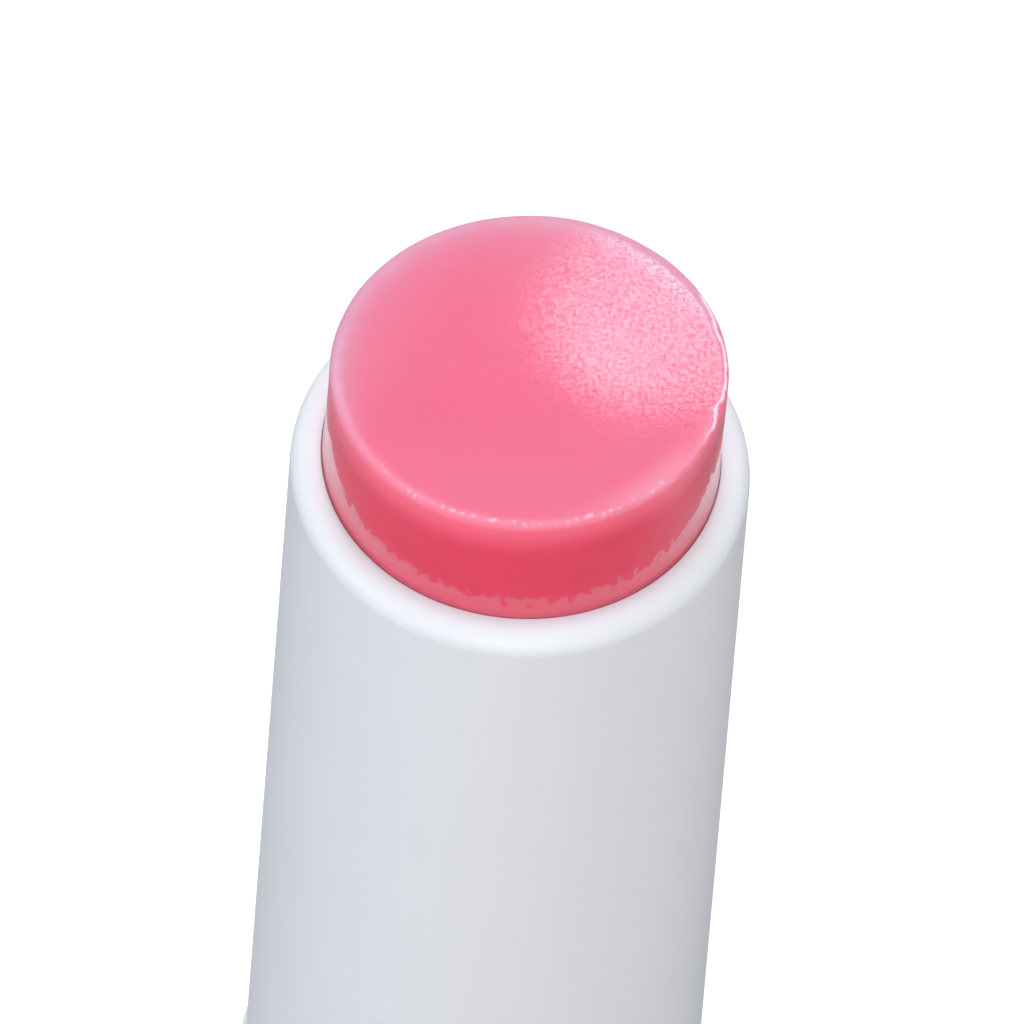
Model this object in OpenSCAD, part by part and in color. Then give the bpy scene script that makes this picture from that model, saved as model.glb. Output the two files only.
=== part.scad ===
// Lip balm stick with a twist base, wound up a little and uncapped.
// Millimetres. The origin is on the tube's axis, on the face that the stick stands on.

/* [Neck] */
// Outside diameter of the neck at its open rim
rim_d = 14.0; // [13:0.1:16]
// Thickness of the wall between the bore and the neck's rim
wall_t = 0.92; // [0.9:0.01:1.2]
// Length of the neck, from the shoulder up to the rim
neck_len = 38; // [30:0.5:42]
// Draft of the neck on each side, in degrees
neck_draft = 0.5; // [0.2:0.1:1]
// Radius of the rim's outer edge
lip_outer_r = 0.78; // [0.5:0.02:0.78]
// Radius of the rim's inner edge
lip_inner_r = 0.1; // [0.04:0.01:0.1]

/* [Cap seat] */
// How far the cap's seat stands proud of the neck's foot
seat_proud = 0.14; // [0.08:0.02:0.3]
// Height of the seat above the shoulder
seat_len = 3.2; // [2.5:0.1:5]
// Distance from the seat up to the snap bead
bead_gap = 0.8; // [0.6:0.1:2]
// Height of the snap bead along the neck
bead_len = 0.9; // [0.6:0.1:1.6]

/* [Lower body] */
// Length of the wide lower body, from its foot to the shoulder
body_len = 15.8; // [13:0.2:26]
// Radius of the shoulder's outer edge
shoulder_r = 0.45; // [0.2:0.05:0.6]
// Bevel of the lower body's foot
foot_bevel = 0.3; // [0.1:0.05:0.5]
// Thickness of the floor that carries the screw
floor_t = 1.6; // [1.2:0.1:2.4]
// Depth of the recess under the floor
recess_depth = 1.5; // [1.2:0.1:2.5]
// Thickness of the skirt round that recess
skirt_t = 1.0; // [0.8:0.1:1.4]

/* [Guide ribs] */
// Number of ribs down the bore that stop the carrier from turning
rib_count = 4; // [2:1:6]
// Width of a guide rib
rib_w = 0.9; // [0.6:0.1:1.4]
// Height of a guide rib above the bore
rib_h = 0.4; // [0.3:0.05:0.6]
// Distance from the rim down to the top of the ribs
rib_below_rim = 7.0; // [5:0.5:8]

/* [Balm] */
// Height of the balm's raised edge above the rim, as it is wound up
balm_out = 4.4; // [1:0.1:8]
// Gap between the balm and the bore
balm_gap = 0.06; // [0.04:0.01:0.1]
// Lean of the balm's poured top face, in degrees, rising to +X
balm_lean = 2.6; // [0:0.2:3]
// Radius of the balm's top edge
balm_edge_r = 0.42; // [0.2:0.02:0.6]
// Depth of the poured top face below its raised edge
dish_depth = 0.12; // [0.06:0.02:0.3]
// Width of the slope from the raised edge down to that face
dish_slope_w = 0.7; // [0.4:0.1:1.5]

/* [Carrier] */
// Gap between the carrier and the bore
carrier_gap = 0.07; // [0.04:0.01:0.1]
// Height of the carrier's cup
carrier_h = 8.6; // [6.4:0.2:11]
// Thickness of the carrier's plate
plate_t = 1.4; // [1:0.1:2]
// Thickness of the cup's wall
cup_t = 0.75; // [0.6:0.05:1]
// Thickness of the wall of the threaded hub
hub_t = 1.0; // [0.8:0.1:1.4]
// Height of the threaded hub
hub_h = 5.6; // [4:0.2:6]
// Clearance of the slots that run on the guide ribs
slot_gap = 0.15; // [0.1:0.01:0.25]
// Gap between the cast balm and the carrier
cast_gap = 0.03; // [0.02:0.01:0.1]
// Gap between the lowered carrier and the screw's flange
carrier_floor_gap = 0.3; // [0.2:0.1:0.6]
// Distance from the carrier up to the rim when the stick is fully wound up
top_margin = 1.4; // [0.8:0.1:2]

/* [Screw] */
// Diameter over the thread
thread_d = 4.2; // [3.8:0.1:5]
// Depth of the thread
thread_depth = 0.7; // [0.5:0.05:0.8]
// Rise of the carrier for one turn of the dial
lead = 3.5; // [3:0.1:4.5]
// Width of the thread at its crest
thread_crest_w = 0.7; // [0.5:0.05:0.9]
// Width of the thread at its root
thread_root_w = 1.3; // [1.1:0.05:1.6]
// Running clearance of the thread, on every side
thread_gap = 0.26; // [0.2:0.01:0.3]
// Diameter of the flange that sits on the floor
flange_d = 7.4; // [6.4:0.2:9]
// Thickness of the flange
flange_t = 1.0; // [0.8:0.1:1.6]
// Diameter of the journal that turns in the floor
journal_d = 5.0; // [4.8:0.1:5.8]
// Clearance of the journal and of the flange
journal_gap = 0.06; // [0.03:0.01:0.1]
// Distance across the flats of the drive below the journal
drive_af = 3.8; // [3.2:0.1:4]

/* [Dial] */
// Height of the knurled dial
dial_h = 8.4; // [6:0.2:12]
// Gap between the dial and the lower body
dial_gap = 0.3; // [0.2:0.05:0.4]
// Number of grip ribs round the dial
grip_count = 40; // [30:2:44]
// Radius of a grip rib
grip_r = 0.36; // [0.24:0.02:0.4]
// How far a grip rib stands proud
grip_proud = 0.22; // [0.16:0.02:0.24]
// Thickness of the dial's bottom
dial_base_t = 1.6; // [1.2:0.1:2.2]
// Radius of the dial's outer edges
dial_edge_r = 0.5; // [0.3:0.05:0.7]
// Thickness of the wall of the drive socket
socket_t = 1.5; // [1.2:0.1:2]
// Press gap between the drive and its socket
socket_gap = 0.02; // [0.01:0.01:0.05]
// Clearance of the dial's collar in the recess
collar_gap = 0.1; // [0.06:0.01:0.2]
// Thickness of the collar
collar_t = 0.9; // [0.8:0.1:1.4]
// Depth of the moulded ring under the dial
base_ring_depth = 0.5; // [0.3:0.05:0.8]

/* [Cap] */
// Thickness of the cap's wall at its mouth
cap_wall = 0.76; // [0.7:0.02:1]
// Clearance of the cap on its seat
cap_fit = 0.08; // [0.04:0.01:0.12]
// Clearance of the cap's snap ring on the neck
ring_gap = 0.08; // [0.04:0.01:0.12]
// Height of that ring's crest
ring_len = 0.3; // [0.2:0.02:0.3]
// Thickness of the cap's closed end
cap_top_t = 1.2; // [1:0.1:2]
// Room above the rim inside the closed cap
cap_room = 5.5; // [4:0.5:8]
// Radius of the cap's top edge
cap_edge_r = 1.1; // [0.6:0.1:1.1]
// Number of ribs inside the cap
cap_rib_count = 6; // [4:1:8]
// Width of a rib inside the cap
cap_rib_w = 0.8; // [0.6:0.1:1.2]
// Clearance of those ribs on the neck
cap_rib_gap = 0.1; // [0.06:0.02:0.2]
// Distance from the snap bead up to those ribs
cap_rib_start = 1.2; // [0.8:0.1:2]
// Distance from the stick's axis to the cap standing beside it
cap_x = 27; // [22:1:40]

/* [Hidden] */
$fn = 96;
eps = 0.01;
// Thread's steps in one turn, and sides of its core
turn_steps = 14;
core_sides = 16;

// Radii
rim_r = rim_d / 2;
bore_r = rim_r - wall_t;
neck_foot_r = rim_r + neck_len * tan(neck_draft);
seat_r = neck_foot_r + seat_proud;
cap_bore_r = seat_r + cap_fit;
body_r = cap_bore_r + cap_wall;
balm_r = bore_r - balm_gap;
carrier_r = bore_r - carrier_gap;
cup_in_r = carrier_r - cup_t;
slot_r = bore_r - rib_h - slot_gap;
thread_r = thread_d / 2;
root_r = thread_r - thread_depth;
hub_in_r = thread_r + thread_gap;
hub_r = hub_in_r + hub_t;
floor_hole_r = journal_d / 2 + journal_gap;
dial_core_r = body_r - grip_proud;
recess_r = body_r - skirt_t;
collar_r = recess_r - collar_gap;
socket_r = drive_af / sqrt(3) + socket_t;

// Levels
foot_z = dial_h + dial_gap;
floor_z = foot_z + recess_depth;
floor_top_z = floor_z + floor_t;
shoulder_z = foot_z + body_len;
seat_z = shoulder_z + seat_len;
bead_z = seat_z + bead_gap;
rim_z = shoulder_z + neck_len;
flange_z = floor_top_z + journal_gap;
thread_z = flange_z + flange_t;
carrier_low_z = thread_z + carrier_floor_gap;
carrier_z = carrier_low_z + balm_out;
carrier_top_z = rim_z - top_margin - carrier_h;
screw_top_z = carrier_top_z + hub_h + thread_gap;
rib_top_z = rim_z - rib_below_rim;
crest_z = rim_z + balm_out;
ring_z = seat_z + (seat_proud + bead_gap) / 2;
cap_room_z = neck_len + cap_room;
cap_h = cap_room_z + cap_top_t;

// Travel of the carrier below and above this pose, and the dial's turns for it
travel_down = carrier_z - carrier_low_z;
travel_up = carrier_top_z - carrier_z;
echo(travel_down = travel_down, travel_up = travel_up);
echo(turn_down = 360 * travel_down / lead, turn_up = 360 * travel_up / lead);
echo(seat_r = seat_r, cap_bore_r = cap_bore_r, shoulder_z = shoulder_z, rim_z = rim_z);

// Radius of the drafted neck at a level
function neck_r(z) = rim_r + (rim_z - z) * tan(neck_draft);

// Turn of the thread's crest at a level, for a left-hand thread
function thread_turn(z) = -360 * (z - thread_z) / lead;

// Half the angle that a width along the axis takes up in one turn
function half_angle(width) = 180 * width / lead;

// A point at a radius and an angle
function polar(r, a) = [r * cos(a), r * sin(a)];

// Copies of one piece, evenly spaced round the axis
module around(count) {
  for (i = [0 : count - 1]) rotate(360 * i / count) children();
}

// A straight rib or slot along +X, with a drafted inner edge and a sloped top
module radial_rib(low_r, high_r, to_r, width, low_z, high_z, slope) {
  rotate([90, 0, 0]) linear_extrude(width, center = true)
    polygon([[low_r, low_z], [to_r, low_z], [to_r, high_z + slope], [high_r, high_z]]);
}

// A quarter disc that rounds an edge, with its corner turned to +X and +Z or mirrored to -X
module edge_round(radius, side) {
  intersection() {
    circle(radius);
    scale([side, 1]) square(radius);
  }
}

// Section of the barrel's wall, floor and foot
module barrel_section() {
  polygon([
    [body_r, foot_z + foot_bevel], [body_r, shoulder_z - shoulder_r],
    [body_r - shoulder_r, shoulder_z - shoulder_r], [body_r - shoulder_r, shoulder_z], [seat_r, shoulder_z],
    [seat_r, seat_z], [neck_r(seat_z + seat_proud), seat_z + seat_proud],
    [neck_r(bead_z), bead_z], [seat_r, bead_z + bead_len / 3],
    [seat_r, bead_z + bead_len * 2 / 3], [neck_r(bead_z + bead_len), bead_z + bead_len],
    [rim_r, rim_z - lip_outer_r], [rim_r - lip_outer_r, rim_z - lip_outer_r], [rim_r - lip_outer_r, rim_z],
    [bore_r + lip_inner_r, rim_z], [bore_r + lip_inner_r, rim_z - lip_inner_r], [bore_r, rim_z - lip_inner_r],
    [bore_r, floor_top_z], [floor_hole_r, floor_top_z], [floor_hole_r, floor_z],
    [recess_r, floor_z], [recess_r, foot_z], [body_r - foot_bevel, foot_z]
  ]);
  translate([body_r - shoulder_r, shoulder_z - shoulder_r]) edge_round(shoulder_r, 1);
  translate([rim_r - lip_outer_r, rim_z - lip_outer_r]) edge_round(lip_outer_r, 1);
  translate([bore_r + lip_inner_r, rim_z - lip_inner_r]) edge_round(lip_inner_r, -1);
}

// Tube with the neck, the cap's seat, the shoulder, the floor and the guide ribs
module barrel() {
  color("whitesmoke") union() {
    rotate_extrude() barrel_section();
    around(rib_count)
      radial_rib(bore_r - rib_h, bore_r - rib_h, bore_r + wall_t / 2, rib_w,
        floor_top_z - eps, rib_top_z - rib_h, rib_h + wall_t / 2);
  }
}

// Leaning head of the balm: a dished face, its raised edge and the rounding outside it
module balm_head() {
  head_h = 2 * balm_edge_r;
  lean_shift = head_h * tan(balm_lean);
  low_z = crest_z - head_h;
  edge_x = balm_r + lean_shift - balm_edge_r;
  intersection() {
    translate([0, 0, low_z]) cylinder(r = balm_r, h = 2 * head_h);
    translate([0, 0, crest_z]) rotate([0, -balm_lean, 0]) rotate_extrude() {
      polygon([
        [0, -2 * head_h], [edge_x + balm_edge_r, -2 * head_h], [edge_x + balm_edge_r, -balm_edge_r],
        [edge_x, -balm_edge_r], [edge_x, 0], [edge_x - dish_slope_w, -dish_depth], [0, -dish_depth]
      ]);
      translate([edge_x, -balm_edge_r]) edge_round(balm_edge_r, 1);
    }
  }
}

// Column of balm, cast round the carrier's cup and hub and round the screw
module balm() {
  cup_top_z = carrier_z + carrier_h + cast_gap;
  hub_top_z = carrier_z + hub_h + cast_gap;
  plate_top_z = carrier_z + plate_t + cast_gap;
  column_top_z = crest_z - 2 * balm_edge_r;
  screw_room_z = screw_top_z + travel_down + thread_gap;
  groove_top_z = rib_top_z + travel_down + slot_gap;
  color("hotpink") union() {
    difference() {
      rotate_extrude() polygon([
        [hub_in_r, screw_room_z], [hub_in_r, hub_top_z], [hub_r + cast_gap, hub_top_z],
        [hub_r + cast_gap, plate_top_z], [cup_in_r - cast_gap, plate_top_z], [cup_in_r - cast_gap, cup_top_z],
        [balm_r, cup_top_z], [balm_r, column_top_z], [0, column_top_z], [0, screw_room_z]
      ]);
      around(rib_count)
        radial_rib(slot_r, slot_r, rim_r, rib_w + 2 * slot_gap, carrier_z, groove_top_z, rim_r - slot_r);
    }
    balm_head();
  }
}

// Thread inside the carrier's hub, which fills the screw's groove but for the running clearance
module hub_thread() {
  tip = 180 - half_angle(thread_root_w + 2 * thread_gap);
  base = 180 - half_angle(thread_crest_w + 2 * thread_gap);
  steps = [0 : 4];
  low_z = carrier_z + eps;
  height = hub_h - 2 * eps;
  translate([0, 0, low_z]) rotate(thread_turn(low_z) + 180)
    linear_extrude(height, twist = 360 * height / lead, slices = ceil(turn_steps * height / lead), $fn = 12)
      polygon(concat(
        [for (i = steps) polar(root_r + thread_gap, -tip + tip * i / 2)],
        [for (i = steps) polar(hub_in_r + hub_t / 2, base - base * i / 2)]
      ));
}

// Carrier cup that lifts the balm, with its threaded hub and the slots for the guide ribs
module carrier() {
  color("white") union() {
    difference() {
      translate([0, 0, carrier_z]) rotate_extrude() polygon([
        [hub_in_r, 0], [carrier_r, 0], [carrier_r, carrier_h], [cup_in_r, carrier_h],
        [cup_in_r, plate_t], [hub_r, plate_t], [hub_r, hub_h], [hub_in_r, hub_h]
      ]);
      around(rib_count)
        radial_rib(slot_r, slot_r, rim_r, rib_w + 2 * slot_gap,
          carrier_z - plate_t, carrier_z + carrier_h + plate_t, 0);
    }
    hub_thread();
  }
}

// Left-hand thread and its core, as one twisted section
module screw_thread() {
  crest = half_angle(thread_crest_w);
  root = half_angle(thread_root_w);
  height = screw_top_z - thread_z;
  linear_extrude(height, twist = 360 * height / lead, slices = ceil(turn_steps * height / lead), $fn = 12)
    polygon(concat(
      [polar(root_r, -root), polar(thread_r, -crest), polar(thread_r, 0), polar(thread_r, crest)],
      [for (i = [0 : core_sides - 5]) polar(root_r, root + (360 - 2 * root) * i / (core_sides - 4))]
    ));
}

// Screw with the flange above the floor, the journal in it and the drive below
module lead_screw() {
  color("white") union() {
    translate([0, 0, thread_z]) screw_thread();
    translate([0, 0, flange_z]) cylinder(d = flange_d, h = flange_t);
    translate([0, 0, floor_z]) cylinder(d = journal_d, h = flange_z - floor_z);
    translate([0, 0, dial_base_t + journal_gap])
      cylinder(r = drive_af / sqrt(3), h = floor_z - dial_base_t - journal_gap, $fn = 6);
  }
}

// Outline of the dial's wall, rounded at both outer edges and just clear of the grip ribs
module dial_envelope() {
  outer_r = body_r + eps;
  rotate_extrude() {
    translate([0, dial_edge_r]) square([outer_r, dial_h - 2 * dial_edge_r]);
    square([outer_r - dial_edge_r, dial_h]);
    translate([outer_r - dial_edge_r, dial_h - dial_edge_r]) edge_round(dial_edge_r, 1);
    translate([outer_r - dial_edge_r, dial_edge_r]) mirror([0, 1]) edge_round(dial_edge_r, 1);
  }
}

// Knurled dial with its collar, its socket for the drive and a moulded ring underneath
module twist_dial() {
  cavity_r = collar_r - collar_t;
  color("whitesmoke") difference() {
    union() {
      intersection() {
        linear_extrude(dial_h) {
          circle(dial_core_r);
          around(grip_count) translate([body_r - grip_r, 0]) circle(grip_r, $fn = 24);
        }
        dial_envelope();
      }
      cylinder(r = collar_r, h = floor_z - journal_gap);
    }
    translate([0, 0, dial_base_t]) rotate_extrude()
      translate([socket_r, 0]) square([cavity_r - socket_r, floor_z]);
    translate([0, 0, dial_base_t]) cylinder(r = drive_af / sqrt(3) + socket_gap, h = floor_z, $fn = 6);
    translate([0, 0, -floor_z]) rotate_extrude()
      translate([socket_r, 0]) square([cavity_r - socket_r, floor_z + base_ring_depth]);
  }
}

// Section of the cap's bore: the mouth that fits the seat, the snap ring and the drafted room above it
module cap_bore_section() {
  ring_r = neck_r(ring_z) + ring_gap;
  ring_rise = cap_bore_r - ring_r;
  ring_mid = ring_z - shoulder_z;
  draft_z = ring_mid + ring_len / 2 + ring_rise;
  polygon([
    [0, 0], [cap_bore_r, 0], [cap_bore_r, ring_mid - ring_len / 2 - ring_rise],
    [ring_r, ring_mid - ring_len / 2], [ring_r, ring_mid + ring_len / 2], [cap_bore_r, draft_z],
    [cap_bore_r - (cap_room_z - draft_z) * tan(neck_draft), cap_room_z], [0, cap_room_z]
  ]);
}

// Cap that slides over the neck, standing on its mouth beside the stick
module cap() {
  rib_low_z = seat_len + bead_gap + bead_len + cap_rib_start;
  rib_low_r = neck_r(shoulder_z + rib_low_z) + cap_rib_gap;
  rib_high_r = neck_r(shoulder_z + cap_room_z) + cap_rib_gap;
  color("whitesmoke") translate([cap_x, 0, 0]) {
    rotate_extrude() difference() {
      union() {
        square([body_r, cap_h - cap_edge_r]);
        square([body_r - cap_edge_r, cap_h]);
        translate([body_r - cap_edge_r, cap_h - cap_edge_r]) edge_round(cap_edge_r, 1);
      }
      cap_bore_section();
    }
    around(cap_rib_count)
      radial_rib(rib_low_r, rib_high_r, cap_bore_r + cap_wall / 2, cap_rib_w,
        rib_low_z, cap_room_z + cap_top_t / 2, 0);
  }
}

barrel();
balm();
carrier();
lead_screw();
twist_dial();
cap();
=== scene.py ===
"""Looks of a twist-up lip balm stick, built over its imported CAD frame."""

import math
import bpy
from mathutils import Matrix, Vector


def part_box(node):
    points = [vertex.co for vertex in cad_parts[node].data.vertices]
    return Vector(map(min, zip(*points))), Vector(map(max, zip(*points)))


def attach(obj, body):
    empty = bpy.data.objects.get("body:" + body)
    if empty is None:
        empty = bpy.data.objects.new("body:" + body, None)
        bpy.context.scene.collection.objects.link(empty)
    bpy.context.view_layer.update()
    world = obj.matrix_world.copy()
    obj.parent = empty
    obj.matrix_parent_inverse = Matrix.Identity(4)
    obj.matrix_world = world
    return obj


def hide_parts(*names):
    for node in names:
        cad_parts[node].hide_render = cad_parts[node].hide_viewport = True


bl_info = {
    "name": "Twist-up Lip Balm Stick",
    "version": (1, 0, 0),
    "blender": (4, 5, 0),
    "location": "View3D > Sidebar > Lip Balm",
    "description": "Builds a white twist-up stick with a wound-up column of pink balm and its cap",
    "category": "Object",
}

import bmesh
import bpy
from bpy.props import FloatProperty, FloatVectorProperty, IntProperty, PointerProperty
from bpy.types import Operator, Panel, PropertyGroup
from mathutils import Matrix, Quaternion, Vector, noise

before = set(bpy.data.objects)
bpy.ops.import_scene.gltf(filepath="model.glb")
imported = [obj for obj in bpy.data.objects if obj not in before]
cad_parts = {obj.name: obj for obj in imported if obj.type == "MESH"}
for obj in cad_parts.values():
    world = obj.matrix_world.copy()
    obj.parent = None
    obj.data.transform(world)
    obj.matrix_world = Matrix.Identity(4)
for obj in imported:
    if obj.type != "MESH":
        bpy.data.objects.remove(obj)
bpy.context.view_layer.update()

# Heights and radii that several pieces share, in metres
MM = 0.001
RIM_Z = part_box("barrel")[1][2]
BARREL_FOOT_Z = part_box("barrel")[0][2]
BODY_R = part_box("barrel")[1][0]
BALM_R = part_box("balm")[1][0]
BALM_LOW_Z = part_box("balm")[0][2]
CARRIER_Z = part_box("carrier")[0][2]
CARRIER_TOP_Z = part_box("carrier")[1][2]
SCREW_TOP_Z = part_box("lead_screw")[1][2]
COLLAR_TOP_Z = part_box("twist_dial")[1][2]
CAP_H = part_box("cap")[1][2]
CAP_X = (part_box("cap")[0][0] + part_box("cap")[1][0]) / 2
DRAFT = math.tan(math.radians(0.5))

# The guide ribs end this far below the rim
RIB_DROP = 7 * MM

# The balm's head is shaped from this far below the rim
HEAD_START = 0.5 * MM

# Rounding that the balm's top edge is turned with, before each direction gets its own size
EDGE = 0.34 * MM

# Place, width and height in metres and colour of each soft box. Its brightness is a setting of the same name.
LAMPS = {
    "top": ((0.08, -0.11, 0.62), 0.44, 0.44, (0.60, 0.85, 1.0)),
    "left": ((-0.46, -0.20, 0.26), 0.32, 0.32, (0.68, 0.81, 1.0)),
    "front": ((0.02, -0.50, 0.26), 0.32, 0.32, (1.0, 0.94, 0.88)),
    "sheen": ((-0.036, 0.298, 0.429), 0.16, 0.16, (0.86, 0.86, 1.0)),
    "horizon": ((0.0, 0.42, 0.30), 0.46, 0.30, (1.0, 1.0, 1.0)),
}
AIR_COLOUR = (0.97, 0.94, 0.93)
WHITE = (1, 1, 1)

# Where the photograph was taken from, in metres from the rim's centre, and its line of sight
CAMERA_BEFORE_AXIS = 0.26415
CAMERA_ABOVE_RIM = 0.36432
CAMERA_SIGHT = (-0.000298, 0.583835, -0.811872)


# Sizes and colours that a user would change


class BarrelSettings(PropertyGroup):
    """The white tube."""

    rim_radius: FloatProperty(
        name="Rim radius",
        description="Outside radius of the neck at its rim",
        default=7.0 * MM,
        unit="LENGTH",
    )
    bore_radius: FloatProperty(
        name="Bore radius", description="Radius of the bore", default=6.08 * MM, unit="LENGTH"
    )
    neck_length: FloatProperty(
        name="Neck length", description="From the shoulder up to the rim", default=38 * MM, unit="LENGTH"
    )
    lip_outer: FloatProperty(
        name="Outer lip", description="Radius of the rim's outer edge", default=0.78 * MM, unit="LENGTH"
    )
    lip_inner: FloatProperty(
        name="Inner lip", description="Radius of the rim's inner edge", default=0.035 * MM, unit="LENGTH"
    )
    steps: IntProperty(name="Steps", description="Steps round the tube", default=256, min=64)
    colour: FloatVectorProperty(
        name="Colour",
        description="Colour of the tube and the dial",
        default=(0.785, 0.805, 0.835),
        subtype="COLOR",
        min=0,
        max=1,
    )


class BalmSettings(PropertyGroup):
    """The cast column of balm."""

    crest_above_rim: FloatProperty(
        name="Crest height",
        description="Height of the raised edge above the rim, on the axis",
        default=4.47 * MM,
        unit="LENGTH",
    )
    lean: FloatProperty(
        name="Lean",
        description="Lean of the top face, rising to the cap's side",
        default=math.radians(2.6),
        subtype="ANGLE",
    )
    fall: FloatProperty(
        name="Fall",
        description="Lean of the top face, falling to the back",
        default=math.radians(1.4),
        subtype="ANGLE",
    )
    shift: FloatProperty(
        name="Shift",
        description="How far the exposed head sits to the cap's side of the bore",
        default=0.035 * MM,
        unit="LENGTH",
    )
    flare: FloatProperty(
        name="Flare",
        description="How much wider the column is in the bore than above it",
        default=0.057 * MM,
        unit="LENGTH",
    )
    dish: FloatProperty(
        name="Dish", description="Depth of the top face below its edge", default=0.03 * MM, unit="LENGTH"
    )
    steps: IntProperty(name="Steps", description="Steps round the balm", default=512, min=96)
    seed: IntProperty(name="Seed", description="Chooses the small unevenness of the cast skin", default=7)
    colour: FloatVectorProperty(
        name="Colour",
        description="Colour of the side",
        default=(0.81, 0.064, 0.126),
        subtype="COLOR",
        min=0,
        max=1,
    )
    top_colour: FloatVectorProperty(
        name="Top colour",
        description="Colour of the poured top face",
        default=(0.75, 0.119, 0.212),
        subtype="COLOR",
        min=0,
        max=1,
    )
    # Painted glow: the side is painted in this lighter colour just below its top edge, standing in for light
    # from within the wax.
    painted_glow_colour: FloatVectorProperty(
        name="Lit colour",
        description="Colour of the side just below its top edge",
        default=(1.0, 0.17, 0.27),
        subtype="COLOR",
        min=0,
        max=1,
    )
    # Painted sheen: this pale colour is laid where light is reflected, on the edges of the top face, in the
    # glossy band of the side and in the grain of the oiled patch.
    pale: FloatVectorProperty(
        name="Pale colour",
        description="Colour of the thin wax at the edge",
        default=(0.62, 0.28, 0.385),
        subtype="COLOR",
        min=0,
        max=1,
    )
    # This colour is laid on the ridge and crumbs of the scrapes, and as a painted highlight along the front of
    # the top edge.
    scraped: FloatVectorProperty(
        name="Scraped colour",
        description="Colour of torn and scraped wax",
        default=(0.86, 0.62, 0.70),
        subtype="COLOR",
        min=0,
        max=1,
    )


class DialSettings(PropertyGroup):
    """The knurled dial."""

    height: FloatProperty(
        name="Height", description="Height of the knurled wall", default=8.4 * MM, unit="LENGTH"
    )
    grips: IntProperty(name="Grip ribs", description="Number of grip ribs round the dial", default=40, min=8)
    grip_radius: FloatProperty(
        name="Grip radius", description="Radius of a grip rib", default=0.36 * MM, unit="LENGTH"
    )
    grip_proud: FloatProperty(
        name="Grip height", description="How far a grip rib stands proud", default=0.22 * MM, unit="LENGTH"
    )
    edge_radius: FloatProperty(
        name="Edge radius", description="Radius of the dial's outer edges", default=0.5 * MM, unit="LENGTH"
    )


class CapSettings(PropertyGroup):
    """The slip-on cap."""

    wall: FloatProperty(
        name="Wall", description="Thickness of the wall at the mouth", default=0.76 * MM, unit="LENGTH"
    )
    ring_proud: FloatProperty(
        name="Snap ring",
        description="How far the snap ring stands proud of the bore",
        default=0.172 * MM,
        unit="LENGTH",
    )
    top_thickness: FloatProperty(
        name="Top thickness", description="Thickness of the closed end", default=1.2 * MM, unit="LENGTH"
    )
    top_edge: FloatProperty(
        name="Top edge", description="Radius of the cap's top edge", default=1.1 * MM, unit="LENGTH"
    )
    # Painted shade: the cap is the same white plastic as the tube, given this darker colour so that its lit
    # top does not clip to white.
    colour: FloatVectorProperty(
        name="Colour",
        description="Colour of the cap",
        default=(0.69, 0.705, 0.73),
        subtype="COLOR",
        min=0,
        max=1,
    )


class StageSettings(PropertyGroup):
    """Camera, lamps and floor."""

    camera_lens: FloatProperty(
        name="Lens", description="Focal length in millimetres on a 36 mm sensor", default=520.82
    )
    camera_roll: FloatProperty(
        name="Roll",
        description="Turn of the camera about its line of sight",
        default=math.radians(4.75),
        subtype="ANGLE",
    )
    top: FloatProperty(name="Top lamp", description="Brightness of the soft box overhead", default=1.5, min=0)
    left: FloatProperty(
        name="Left lamp", description="Brightness of the soft box on the left", default=2.1, min=0
    )
    front: FloatProperty(
        name="Front lamp", description="Brightness of the soft box beside the camera", default=3.1, min=0
    )
    sheen: FloatProperty(
        name="Sheen lamp",
        description="Brightness of the small lamp behind that shows in the top face",
        default=6.6,
        min=0,
    )
    horizon: FloatProperty(
        name="Horizon lamp",
        description="Brightness of the low lamp behind that shows in the back edge",
        default=1.15,
        min=0,
    )
    ambient: FloatProperty(name="Ambient", description="Light from all round", default=0.74, min=0)


# Shader building


class Value:
    """A number in a node tree. Its operators add Math nodes."""

    def __init__(self, nodes, socket):
        self.nodes = nodes
        self.socket = socket

    def math(self, operation, *values):
        made = self.nodes.node("ShaderNodeMath", {"operation": operation}, dict(enumerate(values)))
        return Value(self.nodes, made.outputs[0])

    def __add__(self, other):
        return self.math("ADD", self, other)

    def __radd__(self, other):
        return self.math("ADD", other, self)

    def __sub__(self, other):
        return self.math("SUBTRACT", self, other)

    def __rsub__(self, other):
        return self.math("SUBTRACT", other, self)

    def __mul__(self, other):
        return self.math("MULTIPLY", self, other)

    def __rmul__(self, other):
        return self.math("MULTIPLY", other, self)

    def __truediv__(self, other):
        return self.math("DIVIDE", self, other)

    def __rtruediv__(self, other):
        return self.math("DIVIDE", other, self)

    def __pow__(self, other):
        return self.math("POWER", self, other)

    def most(self, other):
        return self.math("MAXIMUM", self, other)

    def fade(self, low, high):
        """0 below low, 1 above high and a smooth rise between them. With low above high it falls."""
        at_low, at_high = (0.0, 1.0) if low < high else (1.0, 0.0)
        made = self.nodes.node(
            "ShaderNodeMapRange",
            {"interpolation_type": "SMOOTHSTEP"},
            {0: self, 1: min(low, high), 2: max(low, high), 3: at_low, 4: at_high},
        )
        return Value(self.nodes, made.outputs[0])


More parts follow.
